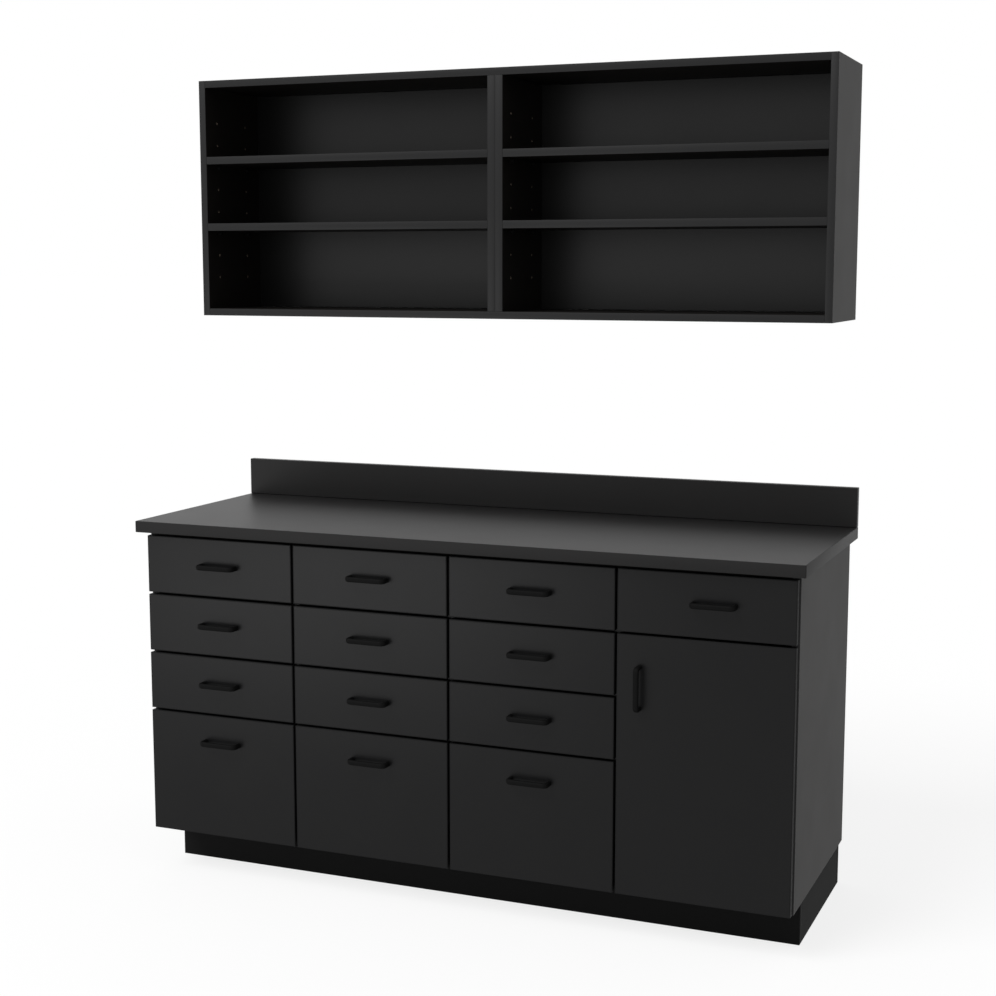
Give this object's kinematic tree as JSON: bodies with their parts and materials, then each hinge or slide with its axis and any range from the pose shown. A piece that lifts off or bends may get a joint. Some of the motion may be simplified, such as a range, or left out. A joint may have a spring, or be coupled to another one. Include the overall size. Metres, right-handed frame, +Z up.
{
  "type": "pharmacy cabinet",
  "caption": "Black laminate base cabinet with drawers, a hinged cupboard and a worktop with upstand, below an open wall unit with adjustable shelves.",
  "frame": {"origin": "on the floor, below the middle of the worktop's outline", "axes": "+Z up, fronts face -Y, wall at +Y, +X to the right seen from the front"},
  "size_m": [1.707, 0.5988, 2.0274],
  "materials": {
    "black_laminate": "matt black melamine laminate on particle board",
    "worktop_laminate": "matt charcoal high-pressure laminate on particle board",
    "black_plastic": "moulded matt black",
    "plated_steel": "nickel-plated pressed steel"
  },
  "bodies": {
    "cabinet": {"worktop": "worktop_laminate", "backsplash": "worktop_laminate", "left_side_panel": "black_laminate", "right_side_panel": "black_laminate", "partition_1": "black_laminate", "partition_2": "black_laminate", "partition_3": "black_laminate", "bottom_panel": "black_laminate", "back_panel": "black_laminate", "top_front_rail": "black_laminate", "top_back_rail": "black_laminate", "toe_kick": "black_laminate", "plinth_left": "black_laminate", "plinth_right": "black_laminate", "plinth_back": "black_laminate", "cupboard_shelf": "black_laminate", "upper_hinge_arm": "plated_steel", "lower_hinge_arm": "plated_steel", "wall_top": "black_laminate", "wall_bottom": "black_laminate", "wall_left_side": "black_laminate", "wall_right_side": "black_laminate", "wall_left_upright": "black_laminate", "wall_right_upright": "black_laminate", "wall_left_back": "black_laminate", "wall_right_back": "black_laminate", "wall_left_upper_shelf": "black_laminate", "wall_left_lower_shelf": "black_laminate", "wall_right_upper_shelf": "black_laminate", "wall_right_lower_shelf": "black_laminate"},
    "door": {"cupboard_door": "black_laminate", "door_pull": "black_plastic", "upper_hinge_cup": "plated_steel", "lower_hinge_cup": "plated_steel"},
    "drawer_a1": {"drawer_a1": "black_laminate", "drawer_a1_pull": "black_plastic"},
    "drawer_a2": {"drawer_a2": "black_laminate", "drawer_a2_pull": "black_plastic"},
    "drawer_a3": {"drawer_a3": "black_laminate", "drawer_a3_pull": "black_plastic"},
    "drawer_a4": {"drawer_a4": "black_laminate", "drawer_a4_pull": "black_plastic"},
    "drawer_b1": {"drawer_b1": "black_laminate", "drawer_b1_pull": "black_plastic"},
    "drawer_b2": {"drawer_b2": "black_laminate", "drawer_b2_pull": "black_plastic"},
    "drawer_b3": {"drawer_b3": "black_laminate", "drawer_b3_pull": "black_plastic"},
    "drawer_b4": {"drawer_b4": "black_laminate", "drawer_b4_pull": "black_plastic"},
    "drawer_c1": {"drawer_c1": "black_laminate", "drawer_c1_pull": "black_plastic"},
    "drawer_c2": {"drawer_c2": "black_laminate", "drawer_c2_pull": "black_plastic"},
    "drawer_c3": {"drawer_c3": "black_laminate", "drawer_c3_pull": "black_plastic"},
    "drawer_c4": {"drawer_c4": "black_laminate", "drawer_c4_pull": "black_plastic"},
    "drawer_d1": {"drawer_d1": "black_laminate", "drawer_d1_pull": "black_plastic"}
  },
  "joints": [
    {"name": "drawer_a1_slide", "type": "slide", "parent": "cabinet", "child": "drawer_a1", "axis": [0, -1, 0], "range_m": [0, 0.343]},
    {"name": "drawer_a2_slide", "type": "slide", "parent": "cabinet", "child": "drawer_a2", "axis": [0, -1, 0], "range_m": [0, 0.343]},
    {"name": "drawer_a3_slide", "type": "slide", "parent": "cabinet", "child": "drawer_a3", "axis": [0, -1, 0], "range_m": [0, 0.343]},
    {"name": "drawer_a4_slide", "type": "slide", "parent": "cabinet", "child": "drawer_a4", "axis": [0, -1, 0], "range_m": [0, 0.343]},
    {"name": "drawer_b1_slide", "type": "slide", "parent": "cabinet", "child": "drawer_b1", "axis": [0, -1, 0], "range_m": [0, 0.343]},
    {"name": "drawer_b2_slide", "type": "slide", "parent": "cabinet", "child": "drawer_b2", "axis": [0, -1, 0], "range_m": [0, 0.343]},
    {"name": "drawer_b3_slide", "type": "slide", "parent": "cabinet", "child": "drawer_b3", "axis": [0, -1, 0], "range_m": [0, 0.343]},
    {"name": "drawer_b4_slide", "type": "slide", "parent": "cabinet", "child": "drawer_b4", "axis": [0, -1, 0], "range_m": [0, 0.343]},
    {"name": "drawer_c1_slide", "type": "slide", "parent": "cabinet", "child": "drawer_c1", "axis": [0, -1, 0], "range_m": [0, 0.343]},
    {"name": "drawer_c2_slide", "type": "slide", "parent": "cabinet", "child": "drawer_c2", "axis": [0, -1, 0], "range_m": [0, 0.343]},
    {"name": "drawer_c3_slide", "type": "slide", "parent": "cabinet", "child": "drawer_c3", "axis": [0, -1, 0], "range_m": [0, 0.343]},
    {"name": "drawer_c4_slide", "type": "slide", "parent": "cabinet", "child": "drawer_c4", "axis": [0, -1, 0], "range_m": [0, 0.343]},
    {"name": "drawer_d1_slide", "type": "slide", "parent": "cabinet", "child": "drawer_d1", "axis": [0, -1, 0], "range_m": [0, 0.343]},
    {"name": "door_hinge", "type": "hinge", "parent": "cabinet", "child": "door", "pos_m": [0.8315, -0.2555, 0.4184], "axis": [0, 0, 1], "range_deg": [0, 110]}
  ]
}
